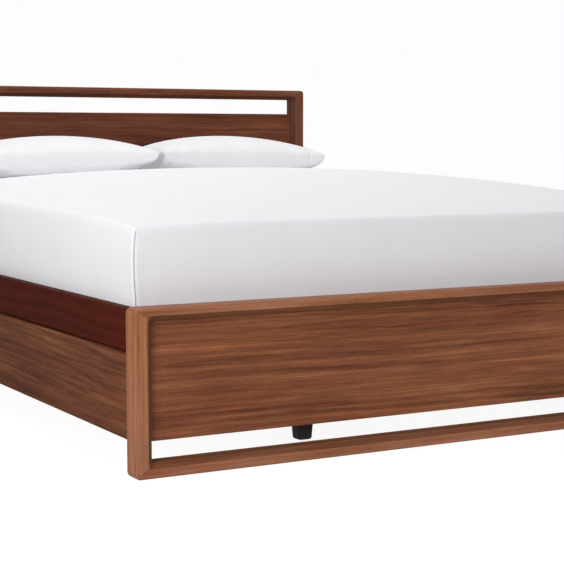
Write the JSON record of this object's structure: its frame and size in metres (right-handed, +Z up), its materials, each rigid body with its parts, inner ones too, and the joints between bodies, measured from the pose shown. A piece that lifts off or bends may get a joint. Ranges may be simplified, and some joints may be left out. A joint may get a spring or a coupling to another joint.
{
  "type": "platform bed with drawers",
  "caption": "Queen-size walnut platform bed: loop-framed headboard and footboard, drawers in the left side, slatted base, fitted mattress and pillows.",
  "frame": {"origin": "on the floor, under the middle of the bed", "axes": "+Z up, +Y towards the headboard, +X to the right of someone looking from the foot to the head"},
  "size_m": [1.6, 2.14, 0.866],
  "materials": {
    "walnut": "satin oiled walnut",
    "walnut_panel": "satin oiled walnut, long grain",
    "dark_walnut": "satin dark walnut",
    "plain_wood": "clear lacquered birch and pine",
    "zinc_steel": "zinc plated",
    "black_plastic": "moulded",
    "fitted_sheet": "white cotton percale over foam",
    "pillowcase": "white cotton percale over soft fill"
  },
  "bodies": {
    "bed_frame": {"foot_post_left": "walnut", "foot_post_right": "walnut", "foot_top_rail": "walnut", "foot_floor_rail": "walnut", "foot_panel": "walnut_panel", "head_post_left": "walnut", "head_post_right": "walnut", "head_top_rail": "walnut", "head_floor_rail": "walnut", "head_panel": "walnut_panel", "side_rail_left": "dark_walnut", "side_rail_right": "dark_walnut", "side_board_right": "walnut_panel", "slat_ledger_left": "plain_wood", "slat_ledger_right": "plain_wood", "centre_beam": "plain_wood", "centre_leg_1": "black_plastic", "centre_leg_2": "black_plastic", "case_back": "plain_wood", "case_foot_end": "plain_wood", "case_divider": "plain_wood", "case_head_end": "plain_wood", "case_foot_1": "black_plastic", "case_foot_2": "black_plastic", "case_foot_3": "black_plastic", "slat_01": "plain_wood", "slat_02": "plain_wood", "slat_03": "plain_wood", "slat_04": "plain_wood", "slat_05": "plain_wood", "slat_06": "plain_wood", "slat_07": "plain_wood", "slat_08": "plain_wood", "slat_09": "plain_wood", "slat_10": "plain_wood", "mattress": "fitted_sheet", "pillow_left": "pillowcase", "pillow_right": "pillowcase", "drawer_1_slide_foot_fixed": "zinc_steel", "drawer_1_slide_head_fixed": "zinc_steel", "drawer_2_slide_foot_fixed": "zinc_steel", "drawer_2_slide_head_fixed": "zinc_steel"},
    "drawer_1": {"drawer_1_front": "walnut_panel", "drawer_1_foot_side": "plain_wood", "drawer_1_head_side": "plain_wood", "drawer_1_back": "plain_wood", "drawer_1_bottom": "plain_wood", "drawer_1_slide_foot_drawer": "zinc_steel", "drawer_1_slide_head_drawer": "zinc_steel"},
    "drawer_1_middle_members": {"drawer_1_slide_foot_middle": "zinc_steel", "drawer_1_slide_head_middle": "zinc_steel"},
    "drawer_2": {"drawer_2_front": "walnut_panel", "drawer_2_foot_side": "plain_wood", "drawer_2_head_side": "plain_wood", "drawer_2_back": "plain_wood", "drawer_2_bottom": "plain_wood", "drawer_2_slide_foot_drawer": "zinc_steel", "drawer_2_slide_head_drawer": "zinc_steel"},
    "drawer_2_middle_members": {"drawer_2_slide_foot_middle": "zinc_steel", "drawer_2_slide_head_middle": "zinc_steel"}
  },
  "joints": [
    {"name": "drawer_1_pull", "type": "slide", "parent": "bed_frame", "child": "drawer_1", "axis": [-1, 0, 0], "range_m": [0, 0.43]},
    {"name": "drawer_1_middle_travel", "type": "slide", "parent": "bed_frame", "child": "drawer_1_middle_members", "axis": [-1, 0, 0], "range_m": [0, 0.215]},
    {"name": "drawer_2_pull", "type": "slide", "parent": "bed_frame", "child": "drawer_2", "axis": [-1, 0, 0], "range_m": [0, 0.43]},
    {"name": "drawer_2_middle_travel", "type": "slide", "parent": "bed_frame", "child": "drawer_2_middle_members", "axis": [-1, 0, 0], "range_m": [0, 0.215]}
  ],
  "couplings": [
    {"joint": "drawer_1_middle_travel", "follows": "drawer_1_pull", "ratio": 0.5},
    {"joint": "drawer_2_middle_travel", "follows": "drawer_2_pull", "ratio": 0.5}
  ]
}
